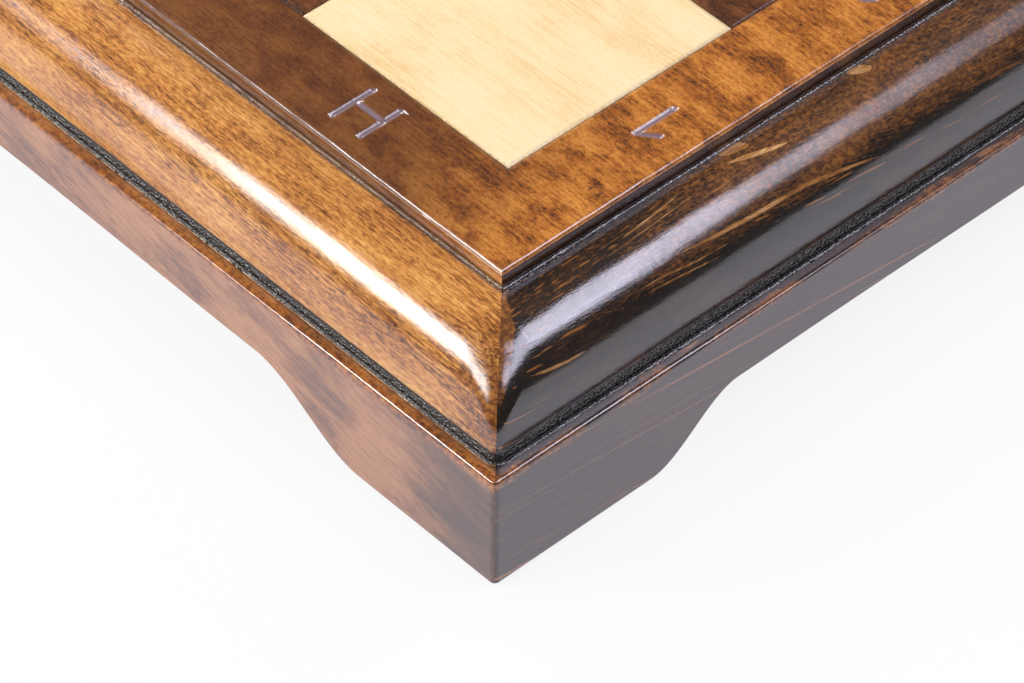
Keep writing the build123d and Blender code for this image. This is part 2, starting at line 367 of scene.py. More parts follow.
def sawnWood(name, look):
    # Wood straight off the saw, unfinished: dull, with fibres and the saw's faint cross marks.
    material, add = newMaterial(name)
    along, across, up = look["grain"]
    grain = add("VectorMath", times, {0: add("TexCoord")["Object"],
                                      1: (1 / (along * mm), 1 / (across * mm), 1 / (up * mm))})[0]
    fibres = add("TexNoise", {}, {"Vector": grain, "Scale": 1.0, "Detail": 4.0, "Roughness": 0.6})["Fac"]
    colour = add("ValToRGB", {}, {"Fac": fibres}, look["stops"])["Color"]
    normal = add("Bump", {}, {"Height": fibres, "Strength": 0.6, "Distance": 0.15 * mm})[0]
    shader = add("BsdfPrincipled", {}, {"Base Color": colour, "Roughness": look["roughness"],
                                        "Specular IOR Level": 0.3, "Normal": normal})
    add("OutputMaterial", {}, {0: shader[0]})
    return material


finishes["underside"] = sawnWood("wiped_stain_beech", {
    "grain": (9, 1.2, 1.2), "roughness": 0.7,
    "stops": [(0.3, "#4A2C18"), (0.5, "#6A4226"), (0.7, "#835634")]})
finishes["block"] = sawnWood("sawn_spruce", {
    "grain": (1.1, 1.1, 14), "roughness": 0.75,
    "stops": [(0.3, "#B98A55"), (0.5, "#D0A46C"), (0.7, "#E0BC88")]})
finishes["spline"] = sawnWood("birch_plywood", {
    "grain": (5, 5, 0.7), "roughness": 0.7,
    "stops": [(0.35, "#8A6238"), (0.5, "#C79A62"), (0.65, "#DDB983")]})


def pressedFelt():
    # Wool felt, pressed and dyed: short fibres in every direction, so it is matt with a soft edge sheen.
    material, add = newMaterial("pressed_wool_felt")
    fuzz = add("TexNoise", {}, {"Vector": add("TexCoord")["Object"], "Scale": 1 / (0.5 * mm), "Detail": 5.0,
                                "Roughness": 0.7, "Distortion": 0.8})["Fac"]
    colour = add("ValToRGB", {}, {"Fac": fuzz}, [(0.3, "#10200F"), (0.55, "#1D3A1C"), (0.75, "#35552F")])["Color"]
    normal = add("Bump", {}, {"Height": fuzz, "Strength": 0.8, "Distance": 0.2 * mm})[0]
    shader = add("BsdfPrincipled", {}, {"Base Color": colour, "Roughness": 0.95, "Sheen Weight": 0.4,
                                        "Specular IOR Level": 0.2, "Normal": normal})
    add("OutputMaterial", {}, {0: shader[0]})
    return material


def zincSteel():
    # Drawn steel, zinc plated: a dull silver with faint cloudy spangle.
    material, add = newMaterial("zinc_plated_steel")
    spangle = add("TexNoise", {}, {"Vector": add("TexCoord")["Object"], "Scale": 1 / (0.9 * mm),
                                   "Detail": 3.0})["Fac"]
    colour = add("ValToRGB", {}, {"Fac": spangle}, [(0.3, "#8E8B84"), (0.6, "#B4B1A8")])["Color"]
    rough = add("MapRange", {}, {"Value": spangle, "To Min": 0.25, "To Max": 0.5})[0]
    shader = add("BsdfPrincipled", {}, {"Base Color": colour, "Roughness": rough, "Metallic": 1.0})
    add("OutputMaterial", {}, {0: shader[0]})
    return material


finishes["felt"] = pressedFelt()
finishes["steel"] = zincSteel()
print("materials made:", len(finishes))


# Rails: a closed profile carried along one side, mitred at both ends

rail = {"cornerSteps": 14, "fineReach": 118}


def stationsFor(side, length, fine, coarse):
    # places along a side from -1 to 1, close together near the front right corner, then steps round each corner
    cornerSteps, fineReach = rail["cornerSteps"], rail["fineReach"]
    fineShare = fineReach / length
    coarsePart = np.linspace(-1, 1 - fineShare, int((2 - fineShare) * length / coarse), endpoint=False)
    finePart = np.linspace(1 - fineShare, 1, int(fineReach / fine))
    if side == "front":
        straight = np.concatenate([coarsePart, finePart])
    elif side == "right":
        straight = -np.concatenate([coarsePart, finePart])[::-1]
    else:
        straight = np.linspace(-1, 1, int(2 * length / coarse))
    bend = np.radians(np.linspace(0, 45, cornerSteps + 1)[1:])
    along = np.concatenate([np.full(cornerSteps, -1.0), straight, np.full(cornerSteps, 1.0)])
    angle = np.concatenate([-bend[::-1], np.zeros(len(straight)), bend])
    return along[:, None], angle[:, None]


def carried(outs, heights, radii, along, angle):
    # each profile point runs straight to its own corner, then turns 45 degrees about it on its radius
    reach = outs - radii
    s = along * reach + radii * np.sin(angle)
    o = reach + radii * np.cos(angle)
    return np.stack([s, -o, np.broadcast_to(heights, s.shape)], axis=-1)


def railFaces(rows, cols):
    # the side faces of a closed profile, and one face over each mitred end
    return [gridQuads(rows, cols, closed=True),
            np.stack([np.arange(cols), (rows - 1) * cols + np.arange(cols)[::-1]])]


def railFinish(rows, cols, hidden, ends):
    # numbers of the rail faces' finishes: 0 on the profile up to where it is hidden, then 1; the ends their own
    numbers = np.zeros((rows - 1, cols), int)
    numbers[:, hidden:] = 1
    return np.append(numbers.ravel(), [ends, ends])


def arc(centre, radius, start, end, count):
    # points on a circle; 0 degrees is upwards, 90 degrees is outwards
    a = np.radians(np.linspace(start, end, count))
    return np.stack([centre[0] + radius * np.sin(a), centre[1] + radius * np.cos(a)], -1)


line = np.linspace     # evenly spaced points on a straight


moulding = {"roundOver": 12.0, "roundSteps": 72, "lastTilt": 84, "ledgeBead": 0.5, "coveSlope": 58,
            # radius of the sanded mitre by the tilt of the surface, from flat on top to upright, and the
            # degrees of tilt over which it is eased, or the bend would show creases
            "tilts": (0, 12, 25, 38, 50, 62, 75, 90), "cornerRadii": (0.3, 1.5, 4.6, 7.0, 6.2, 4.4, 2.4, 1.0),
            "easing": 10,
            # how far the golden stain runs over the mitre, by tilt
            "spillTilts": (0, 22, 40, 60, 80), "spill": (0.6, 1.9, 1.6, 1.0, 0.5),
            "front": {"cove": 0.6, "fillet": 0.15, "wallBead": 0.5, "seed": 11},
            "right": {"cove": 0.7, "fillet": 0.2, "wallBead": 0.6, "seed": 12},
            "back": {"cove": 0.7, "fillet": 0.2, "wallBead": 0.6, "seed": 13},
            "left": {"cove": 0.6, "fillet": 0.2, "wallBead": 0.6, "seed": 14}}
# grain the stain left pale: half width, then points along the side and round the profile, in millimetres
paleGrain = {
    "right": [(1.0, [(-154.5, -1.2), (-150.7, -0.6), (-148.5, 0.4)]),
              (0.42, [(-155.5, 0.8), (-150.3, 2.3), (-144.9, 3.7)]),
              (0.9, [(-127.8, -1.1), (-123.2, 0.4)]),
              (0.1, [(-179.0, 2.2), (-171.0, 1.7), (-163.0, 1.0)]),
              (0.06, [(-183.0, 3.3), (-173.0, 2.9), (-160.0, 2.3)]),
              (0.06, [(-168.0, 3.9), (-158.0, 3.6), (-151.0, 3.5)]),
              (0.26, [(-180.4, 8.0), (-169.3, 9.2), (-161.1, 9.8), (-150.0, 10.2), (-140.2, 11.7), (-130.1, 13.5)]),
              (0.16, [(-206.8, 11.5), (-203.0, 12.2), (-198.5, 12.8), (-193.8, 13.0)]),
              (0.09, [(-188.0, 9.6), (-180.0, 10.0), (-172.0, 10.9), (-164.0, 11.3)]),
              (0.09, [(-184.0, 10.7), (-176.0, 11.4), (-167.0, 12.3)])]}


def makeMoulding(side):
    # profile: lacquer bead at the wall, flat, quarter-round, face, cove, fillet, lacquer bead on the ledge
    own = moulding[side]
    wall = panelHalf + 0.1
    face = -mouldingLow[1] - 1.0
    r, roundSteps, lastTilt = moulding["roundOver"], moulding["roundSteps"], moulding["lastTilt"]
    b, g = own["wallBead"], moulding["ledgeBead"]
    # the cove hollows from upright to the steep slope, then runs straight out to the fillet
    steep = moulding["coveSlope"]
    slope = np.radians(steep)
    coveTop = apronTop + own["fillet"] + own["cove"] * (np.cos(slope) + np.sin(slope) * np.tan(slope))
    last = np.radians(lastTilt)
    lean = (mouldingTop - r + r * np.cos(last) - coveTop) / np.tan(last) - r * (1 - np.sin(last))
    foot = face + lean + own["cove"]
    parts = [
        arc((wall + b, mouldingTop + b), b, 270, 180, 6),
        line((wall + b + 0.3, mouldingTop), (face - r - 0.2, mouldingTop), 7),
        arc((face - r, mouldingTop - r), r, 0, lastTilt, roundSteps),
        line((face + 0.9 * lean, coveTop + 0.5), (face + lean, coveTop + 0.1), 4),
        np.append(arc((foot, coveTop), own["cove"], 270, 180 + steep, 7), [(foot, apronTop + own["fillet"])], 0),
        arc((foot + g, apronTop + g), g, 270, 180, 6),
        line((foot + g - 0.3, apronTop), (lipInner, apronTop), 5),
        line((lipInner, apronTop + 1), (lipInner, panelFloor), 3),
        line((lipInner + 1, panelFloor), (wall, panelFloor), 3),
        line((wall, panelFloor + 1), (wall, mouldingTop - 0.2), 4)]
    profile = np.concatenate(parts)
    # which part each column is on, from the bead at the wall, 0, to the bead on the ledge, 5
    part = np.repeat(np.arange(len(parts)), [len(p) for p in parts])
    hidden = int((part <= 5).sum())
    along, angle = stationsFor(side, face, 0.4, 1.6)
    outs, heights = profile[:, 0][None, :], profile[:, 1][None, :]
    s = along * outs
    seed = own["seed"]
    # the beads swell and shrink along the side, and the whole shape wanders by hundredths
    bead = beads(s, seed, 2.6) * 0.7 + beads(s, seed + 50, 1.1) * 0.3
    lift = np.array([0.035, 0, 0, 0, 0, 0.04, 0, 0, 0, 0])[part] * bead
    push = np.array([0, 0, 0, 0, 0.02, 0.05, 0, 0, 0, 0])[part] * bead
    visible = np.arange(len(profile)) < hidden - 1
    wander = drift(s, seed, (140, 61, 23), (0.06, 0.04, 0.02))
    heights = heights + np.where(visible, lift, 0) + np.where(visible & (part > 0) & (part < 4), wander, 0)
    outs = outs + np.where(visible, push, 0)
    heights = np.where(visible, np.maximum(heights, apronTop), heights)
    tilt = np.array([0, 0, 0, 90, 90, 90, 0, 0, 0, 0.0])[part]
    tilt[part == 2] = np.linspace(0, lastTilt, roundSteps)
    reach = moulding["easing"]
    easing = np.hanning(2 * reach + 1)
    eased = np.convolve(np.interp(np.arange(-reach, 91 + reach), moulding["tilts"], moulding["cornerRadii"]),
                        easing / easing.sum(), "valid")
    radii = np.interp(tilt, np.arange(0, 91), eased)[None, :] + np.clip(outs - face, 0, None)
    local = carried(outs, heights, radii, along, angle)
    o = -local[..., 1]
    # millimetres round the bend and on to the mitre line: the golden stain runs over it by the spill
    fromMitre = np.clip((np.abs(o) - np.abs(s)) * (angle == 0), 0, None)
    toMitre = radii * (np.pi / 4 - np.abs(angle)) + 0.7 * fromMitre
    spill = np.interp(tilt, moulding["spillTilts"], moulding["spill"])[None, :]
    onBend = softStep(1.3 * spill, 0.7 * spill, toMitre)
    # dark stain pools in the cove and at the wall, and the same dark colour paints the shade of these hollows
    low = softStep(coveTop + 0.5, coveTop - 0.1, heights) * (outs > face - 0.5)
    atWall = 0.75 * softStep(wall + 1.1, wall + 0.5, outs) * (heights > mouldingTop - 1)
    pooled = np.where(visible, np.clip(low + atWall, 0, 1), 0)
    grainAway = np.full(o.shape, 2.0)      # millimetres to the nearest pale grain, less its half width
    around = np.broadcast_to(np.where(tilt > 0, r * np.radians(tilt), profile[:, 0] - (face - r)), o.shape)
    for half, path in paleGrain.get(side, []):
        near = visible & (np.abs(s - path[0][0]) < 60)
        ends = np.abs(2 * (s[near] - path[0][0]) / (path[-1][0] - path[0][0]) - 1) ** 3
        away = strokeDistance(s[near], around[near], path) - half * (1 - 1.6 * ends)
        grainAway[near] = np.minimum(grainAway[near], away)
    # on the front, darker stain is painted in as shade near the mitre and in a band under the round; on the right the
    # stain is worn back over the mitre and in patches
    rubbed = np.zeros(o.shape)
    if side == "front":
        rubbed = (0.42 + 0.38 * softStep(20, 60, tilt)[None, :]) * np.exp(-fromMitre / 13) * (s > 0)
        paintedShadeUnderHighlight = softStep(44, 54, tilt) * softStep(84, 66, tilt)
        rubbed = np.maximum(rubbed, 0.46 * paintedShadeUnderHighlight[None, :] * softStep(150, 50, fromMitre) * (s > 0))
    if side == "right":
        patchy = 0.5 + 0.5 * beads(s + 3 * o, 90, 11.0)
        upper = softStep(apronTop + 5.5, apronTop + 12.0, heights)
        rubbed = upper * (0.95 * onBend * (s < 0) + 0.34 + 0.16 * softStep(5, 70, fromMitre) + 0.2 * patchy)
    rubbed = np.where(visible, np.clip(rubbed, 0, 1), 0)
    addPiece("rail_moulding_" + side, turned(local, sideTurns[side]), railFaces(*o.shape),
             [finishes["moulding" + side.title()], finishes["underside"]], railFinish(*o.shape, hidden, 1),
             {"rubbed": rubbed, "pooled": pooled, "grainAway": grainAway}, 50,
             ("moulding_" + side,))


for side in sideTurns:
    makeMoulding(side)
print("mouldings made")


apron = {"thickness": 15.0, "corner": 1.0, "arris": 0.7, "lowerArris": 0.5, "raised": 9.6,
         # worn spots: centre, reach along x, y and z, strength
         "worn": {"right": [((211.2, -180.7, 22.0), (1.6, 2.2, 0.8), 0.9),
                            ((212.2, -123.5, 21.9), (0.9, 2.0, 1.0), 0.9)]},
         "front": {"footEnd": 29.0, "ogee": 23.0, "seed": 21}, "right": {"footEnd": 31.0, "ogee": 17.5, "seed": 22},
         "back": {"footEnd": 30.0, "ogee": 20.0, "seed": 23}, "left": {"footEnd": 29.5, "ogee": 21.0, "seed": 24}}


def makeApron(side):
    # a board whose lower edge rises from each foot in a reverse curve: half a cosine wave over its width
    own = apron[side]
    inner = apronOuter - apron["thickness"]
    a, b = apron["arris"], apron["lowerArris"]
    parts = [
        line((inner, apronTop), (apronOuter - a - 0.2, apronTop), 26),
        arc((apronOuter - a, apronTop - a), a, 0, 90, 6),
        line((apronOuter, apronTop - a - 0.3), (apronOuter, apronFoot + b + 0.3), 14),
        arc((apronOuter - b, apronFoot + b), b, 90, 180, 5),
        line((apronOuter - b - 0.5, apronFoot), (inner + 0.5, apronFoot), 5),
        line((inner, apronFoot), (inner, apronTop - 1), 8)]
    hidden = sum(len(part) for part in parts[:4])
    profile = np.concatenate(parts)
    along, angle = stationsFor(side, apronOuter, 0.5, 1.5)
    outs, heights = profile[:, 0] * np.ones_like(along), profile[:, 1][None, :]
    radii = np.clip(apron["corner"] - (apronOuter - outs), 0.1, None)
    s = along * (outs - radii) + radii * np.sin(angle)
    f = np.clip((apronOuter - np.abs(s) - own["footEnd"]) / own["ogee"], 0, 1)
    rise = (apron["raised"] + drift(s, own["seed"], (180, 70), (0.15, 0.1))) * (0.5 - 0.5 * np.cos(np.pi * f)) * (f > 0)
    height = apronTop - apronFoot
    share = (apronTop - heights) / height     # 0 at the top, 1 at the lower edge
    local = carried(outs, apronTop - share * (height - rise), radii, along, angle)
    points = turned(local, sideTurns[side])
    z = local[..., 2]
    # stain pools against the moulding, where the dark colour also paints the shade of the crease, and is worn back on
    # the ledge, most at its edge
    face = -mouldingLow[1] - 1.0 + moulding[side]["cove"]
    pooled = 0.9 * softStep(face + 1.5, face + 0.4, outs) * (z > apronTop - 0.25)
    rubbed = (0.4 + 0.45 * softStep(face + 0.9, apronOuter - 0.3, outs)) * (z > apronTop - 1.2)
    if side == "right":
        rubbed = rubbed * (0.6 + 0.3 * beads(s, 77, 6.0))
    rubbed = np.clip(rubbed + spots(points, apron["worn"].get(side, [])), 0, 1)
    fields = {"rubbed": rubbed, "pooled": pooled}
    if side == "front":
        # its foot was stained darker towards the corner
        fields["deepened"] = softStep(23, 4, apronOuter - s + 2.5 * beads(z, 95, 4.0)) * (z < apronTop - 1.0)
    addPiece("bracket_apron_" + side, points, railFaces(*z.shape),
             [finishes["apron" + side.title()], finishes["underside"]], railFinish(*z.shape, hidden, 1),
             fields, 40, ("apron_" + side,))


for side in sideTurns:
    makeApron(side)
print("aprons made")


# Playing panel: four border strips with engraved coordinates, and the board under the squares

groove = {"depth": 0.24, "half": 0.75, "uneven": 0.04, "spacing": 3.0}
# half width and depth of the cuts, the hollow where a stroke ends, spacing of the surface's points at the
# signs and between them, how far fine points go beside a sign and how much more at the corner, how far the
# signs' centres are out from the field, and the reach of the longest sign across and up
letters = {"stroke": 0.72, "depth": 0.36, "endDepth": 0.1, "endReach": 0.7, "step": 0.2, "coarseStep": 1.5,
           "fine": (4.0, 4.4), "centre": 7.3, "reach": (5, 6)}


def seamDepth(away, along, seed):
    # round-bottomed groove filled soft by lacquer: a squared cosine across its half width, uneven along it
    f = np.clip(away / groove["half"], 0, 1)
    return groove["depth"] * np.cos(f * np.pi / 2) ** 2 * (
        1 + groove["uneven"] * beads(along, seed, groove["spacing"]))


def bend(cx, cy, rx, ry, start, end, count=14):
    # points on an ellipse, by the angle at its centre
    a = np.radians(np.linspace(start, end, count))
    return [(cx + rx * np.cos(t), cy + ry * np.sin(t)) for t in a]


glyphs = {
    "A": [[(-3, -3.9), (0, 3.9), (3, -3.9)], [(-1.9, -1.2), (1.9, -1.2)]],
    "B": [[(-2.6, -3.9), (-2.6, 3.9)], [(-2.6, 3.9)] + bend(0.4, 1.95, 1.95, 1.95, 90, -90) + [(-2.6, 0)],
          [(-2.6, 0)] + bend(0.8, -1.95, 1.95, 1.95, 90, -90) + [(-2.6, -3.9)]],
    "C": [bend(0.5, 0, 3.3, 3.9, 48, 312, 24)],
    "D": [[(-2.7, -3.9), (-2.7, 3.9)] + bend(-0.6, 0, 3.4, 3.9, 90, -90, 20) + [(-2.7, -3.9)]],
    "E": [[(2.4, 3.9), (-2.3, 3.9), (-2.3, -3.9), (2.4, -3.9)], [(-2.3, 0), (1.7, 0)]],
    "F": [[(2.4, 3.9), (-2.3, 3.9), (-2.3, -3.9)], [(-2.3, 0), (1.7, 0)]],
    "G": [bend(0.4, 0, 3.3, 3.9, 48, 330, 24), [(0.9, -0.5), (3.3, -0.5), (3.3, -2.6)]],
    "H": [[(-3.05, -3.9), (-3.05, 3.9)], [(3.05, -3.9), (3.05, 3.9)], [(-3.05, 0.6), (3.05, 0.6)]],
    "1": [[(0.3, -3.9), (0.3, 3.9), (-2.5, 1.8)]],
    "2": [bend(0, 1.6, 2.5, 2.3, 165, -28, 16) + [(-2.6, -3.9), (2.6, -3.9)]],
    "3": [bend(-0.2, 1.95, 2.3, 1.95, 150, -90, 16) + bend(-0.2, -1.95, 2.6, 1.95, 90, -150, 16)],
    "4": [[(1.3, -3.9), (1.3, 3.9), (-2.9, -1.5), (2.9, -1.5)]],
    "5": [[(2.2, 3.9), (-1.8, 3.9), (-2.2, 0.4)] + bend(-0.1, -1.4, 2.6, 2.5, 130, -140, 18)],
    "6": [[(1.5, 3.9), (-0.7, 2.5), (-2.0, 0.5)] + bend(0, -1.5, 2.5, 2.4, 160, 520, 26)],
    "7": [[(-2.6, 3.9), (2.6, 3.9), (-0.8, -3.9)]],
    "8": [bend(0, 2.0, 2.0, 1.9, -90, 270, 22), bend(0, -1.9, 2.5, 2.0, 90, 450, 24)]}
borderMarks = {"front": ("ABCDEFGH", 1), "right": ("12345678", -1), "back": ("ABCDEFGH", -1),
               "left": ("12345678", 1)}     # 1: upright for the player at the front


def markDepth(worldX, worldY, side):
    # engraving: for every sign on this border, a round-bottomed cut around its strokes, deeper at stroke ends
    text, facing = borderMarks[side]
    centre = fieldHalf + letters["centre"]
    depth = np.zeros(worldX.shape)
    for k, sign in enumerate(text):
        at = (k + 0.5) * squareSide - fieldHalf
        cx, cy = {"front": (at, -centre), "right": (centre, at), "back": (at, centre), "left": (-centre, at)}[side]
        x, y = (worldX - cx) * facing, (worldY - cy) * facing
        near = (np.abs(x) < letters["reach"][0]) & (np.abs(y) < letters["reach"][1])
        for path in glyphs[sign]:
            away = strokeDistance(x[near], y[near], path)
            cut = letters["depth"] * np.cos(np.clip(away / letters["stroke"], 0, 1) * np.pi / 2) ** 1.5
            for ex, ey in (path[0], path[-1]):
                fromEnd = np.hypot(x[near] - ex, y[near] - ey)
                cut = cut + letters["endDepth"] * np.clip(1 - fromEnd / letters["endReach"], 0, 1)
            depth[near] = np.maximum(depth[near], cut * (away < letters["stroke"]))
    return depth


# where the stain deepens along the front and how that slants, and the drop and ripple of the outer edge
border = {"arris": {"front": 0.6, "right": 0.8, "back": 0.8, "left": 0.8}, "deepened": (194, 160), "slant": 0.35,
          "drop": 0.09, "waves": ((37, 15, 6.1), (0.04, 0.03, 0.02))}


def deepenedAt(points):
    # the stain is darkest along the front, away from the corner, and lightest along the right
    return softStep(*border["deepened"], points[..., 0] + border["slant"] * (points[..., 1] + fieldHalf))


def makeBorder(side):
    # profile of one strip: seam groove, flat, worn arris, wall, underside, recess wall
    arris = border["arris"][side]
    flat = np.concatenate([np.linspace(fieldHalf + 0.9, fieldHalf + 2.2, 5),
                           np.arange(fieldHalf + 2.4, panelHalf - 2.2, letters["step"]),
                           np.linspace(panelHalf - 2.1, panelHalf - arris - 0.1, 5)])
    top = np.append(np.linspace(fieldHalf + 0.02, fieldHalf + 0.82, 9), flat)
    parts = [
        np.stack([top, np.full(len(top), panelTop)], -1),
        arc((panelHalf - arris, panelTop - arris), arris, 0, 90, 7),
        line((panelHalf, panelTop - arris - 0.3), (panelHalf, panelFloor), 10),
        line((panelHalf - 3, panelFloor), (fieldHalf + 0.02, panelFloor), 4),
        line((fieldHalf + 0.02, panelFloor + 3), (fieldHalf + 0.02, panelTop - 1), 3)]
    hidden = sum(len(part) for part in parts[:3])
    profile = np.concatenate(parts)
    middle = (fieldHalf + panelHalf) / 2
    at = (np.arange(8) + 0.5) * squareSide - fieldHalf
    # the grid's columns fan out from the board's centre, so fine columns reach further beside the outer signs
    reaches = letters["fine"][0] + letters["fine"][1] * np.abs(at) / middle
    stops = np.concatenate([np.arange(a - reach, a + reach, letters["step"]) for a, reach in zip(at, reaches)] + [
        np.arange(a - 18, a + 18, letters["coarseStep"]) for a in squareSide * np.arange(9) - fieldHalf])
    stops = np.sort(stops[np.abs(stops) < middle]) / middle
    stops = stops[np.concatenate([[True], np.diff(stops) > 0.3 * letters["step"] / middle])]
    along = np.concatenate([[-1.0], stops, [1.0]])[:, None]
    outs, heights = (column * np.ones_like(along) for column in profile.T)
    local = carried(outs, heights, 0.0, along, np.zeros_like(along))
    points = turned(local, sideTurns[side])
    s = along * outs
    onTop = np.arange(len(profile)) < len(top)
    seam = seamDepth(outs - fieldHalf, s, 31)
    signs = markDepth(points[..., 0], points[..., 1], side)
    points[..., 2] -= np.where(onTop, np.maximum(seam, signs), 0)
    # the outer edge is uneven by hundredths and a little lower
    ripple = drift(s, 41 + sideTurns[side], *border["waves"])
    edge = softStep(panelHalf - arris - 3.0, panelHalf - arris, outs) * (heights > panelTop - 0.6)
    points[..., 2] += edge * (ripple - border["drop"])
    wall = outs > panelHalf - 0.01
    # dark stain pools in the seam groove, and the foot of the wall is painted dark as the shade of the crease against
    # the moulding
    pooled = np.where(onTop, np.clip(seam * 1.5, 0, 0.8), 0)
    pooled = np.maximum(pooled, wall * softStep(mouldingTop + 0.9, mouldingTop + 0.2, heights))
    rubbed = 0 * pooled
    if side == "right":
        pooled = np.maximum(pooled, spots(points, [((192.2, -174.2, panelTop), (2.6, 0.28, 1), 0.9)]))
        pooled = np.maximum(pooled, 0.9 * wall)
    # the front arris is painted pale tan as a highlight, and the front wall above the moulding as a reflection
    if side == "front":
        paintedHighlightOnArris = (outs > panelHalf - 0.7 * arris) & (heights > panelTop - 1.05 * arris)
        rubbed = np.where(paintedHighlightOnArris, 0.85, np.where(wall & (heights > mouldingTop), 0.4, 0))
    # the bottoms of the cut signs are given a painted lilac-grey reflection
    engraved = np.where(onTop, softStep(0.03, 0.22, signs) * 0.9, 0)
    addPiece("panel_border_" + side, points, railFaces(*s.shape), [finishes["panel"], finishes["underside"]],
             railFinish(*s.shape, hidden, 0),
             {"rubbed": rubbed, "pooled": pooled, "engraved": engraved, "deepened": deepenedAt(points)}, 55,
             ("playing_panel",))


for side in sideTurns:
    makeBorder(side)


def boxPoints(low, high):
    # the eight corners of a box and its six faces
    c = np.array([[x, y, z] for x in (low[0], high[0]) for y in (low[1], high[1]) for z in (low[2], high[2])])
    f = np.array([[0, 1, 3, 2], [4, 6, 7, 5], [0, 4, 5, 1], [2, 3, 7, 6], [0, 2, 6, 4], [1, 5, 7, 3]])
    return c, f


# the columns of a tile's surface by their distance from its edge, and the stain that collects by the groove's depth
square = {"gap": 0.05, "thickness": 4.0, "columns": (0, 0.1, 0.2, 0.3, 0.4, 0.5, 0.6, 0.7, 0.78, 1.2, 3, 7, 13),
          "pooled": 1.7, "mostPooled": 0.7}
core, coreFaces = boxPoints((-fieldHalf, -fieldHalf, panelFloor),
                            (fieldHalf, fieldHalf, panelTop - square["thickness"]))
addPiece("panel_core", core, [coreFaces], [finishes["underside"]], replaces=("playing_panel",))
print("panel made")


# Squares

def makeSquares(rank, colour):
    # four tiles; each is a height field whose edges fall into the shared seam groove, over upright walls
    h = squareSide / 2
    edge = h - square["gap"] - np.array(square["columns"])
    across = np.concatenate([-edge, edge[::-1]])
    n = len(across)
    x, y = np.meshgrid(across, across, indexing="ij")
    first = rank % 2 if colour == "dark" else (rank + 1) % 2
    allPoints, quads, floors, shifts, pools = [], [], [], [], []
    rng = np.random.default_rng(100 + rank * 2 + (colour == "dark"))
    for file in range(first, 8, 2):
        cx = (file + 0.5) * squareSide - fieldHalf
        cy = (rank + 0.5) * squareSide - fieldHalf
        depth = np.maximum(seamDepth(h - np.abs(x), y + cy, 31 + file), seamDepth(h - np.abs(y), x + cx, 61 + rank))
        top = np.stack([x + cx, y + cy, panelTop - depth], -1).reshape(-1, 3)
        ring = np.concatenate([np.arange(n) * n, (n - 1) * n + np.arange(1, n),
                               np.arange(n - 2, -1, -1) * n + n - 1, np.arange(n - 2, 0, -1)])
        base = top[ring].copy()
        base[:, 2] = panelTop - square["thickness"]
        m = len(ring)
        start = sum(len(p) for p in allPoints)
        nextOne = (np.arange(m) + 1) % m
        walls = np.stack([ring, n * n + np.arange(m), n * n + nextOne, ring[nextOne]], -1)
        quads.append(np.concatenate([gridQuads(n, n), walls]) + start)
        floors.append((n * n + np.arange(m))[::-1] + start)
        allPoints.append(np.concatenate([top, base]))
        shifts.append(np.tile(rng.uniform(-1, 1, 3), (n * n + m, 1)))
        pools.append(np.concatenate([np.clip(depth.ravel() * square["pooled"], 0, square["mostPooled"]), np.ones(m)]))
    addPiece(f"tiles_{colour}_rank_{rank + 1}", np.concatenate(allPoints), [np.concatenate(quads), np.stack(floors)],
             [finishes[colour + "Square"]],
             fields={"grainShift": np.concatenate(shifts), "pooled": np.concatenate(pools)},
             sharp=50, replaces=(f"{colour}_squares_rank_{rank + 1}",))


for rank in range(8):
    for colour in ("dark", "light"):
        makeSquares(rank, colour)
print("squares made")


# Screws: countersunk heads with a cross recess, and a thread

screw = {"length": 28.0, "shank": 3.5, "head": 6.5, "point": 3.0, "thread": 0.3, "pitch": 1.4, "recess": 1.6,
         "arm": (0.55, 0.3), "armReach": (1.9, 1.2), "apart": 6.0}
screwBox = span("block_screws")
screwLevel = screwBox[0][2]
screwFar = screwBox[1][0] - screw["head"] / 2
screwNear = screwFar - screw["apart"]


def makeScrews():
    # a surface of revolution about each screw's axis: recessed head, cone, thread as a slow spiral ripple, point
    around = np.linspace(0, 2 * np.pi, 40, endpoint=False)[None, :]
    head, shank = screw["head"] / 2, screw["shank"] / 2
    rings = np.concatenate([np.linspace(0.05, head - 0.05, 16), [head]])
    r = rings[:, None] * np.ones_like(around)
    x, y = r * np.cos(around), r * np.sin(around)
    arm = np.minimum(np.abs(x), np.abs(y))
    recess = screw["recess"] * softStep(*screw["arm"], arm) * softStep(*screw["armReach"], r)
    top = np.stack([x, y, recess], -1)
    cone = head - shank
    level = np.concatenate([np.linspace(0.15, cone, 5), np.linspace(cone + 0.1, screw["length"], 190)])[:, None]
    body = np.where(level < cone, head - level, shank)
    tip = np.clip((screw["length"] - level) / screw["point"], 0.03, 1)
    body = np.where(level > screw["length"] - screw["point"], shank * tip, body)
    ripple = (0.5 + 0.5 * np.cos(around - 2 * np.pi * level / screw["pitch"])) ** 2
    threaded = softStep(cone + 4, cone + 6, level) * tip
    radius = body - threaded * screw["thread"] * (1 - ripple)
    sides = np.stack([radius * np.cos(around), radius * np.sin(around), np.broadcast_to(level, radius.shape)], -1)
    one = np.concatenate([top, sides])
    rows, cols = one.shape[:2]
    quads = gridQuads(rows, cols, closed=True)
    ends = np.stack([np.arange(cols), (rows - 1) * cols + np.arange(cols)[::-1]])
    points, faces, caps = [], [], []
    for sx in (-1, 1):
        for sy in (-1, 1):
            for px, py in ((screwFar, screwNear), (screwNear, screwFar)):
                start = len(points) * rows * cols
                points.append(one.reshape(-1, 3) + np.array([sx * px, sy * py, screwLevel]))
                faces.append(quads + start)
                caps.append(ends + start)
    addPiece("countersunk_screws", np.concatenate(points), [np.concatenate(faces), np.concatenate(caps)],
             [finishes["steel"]], sharp=45, replaces=("block_screws",))


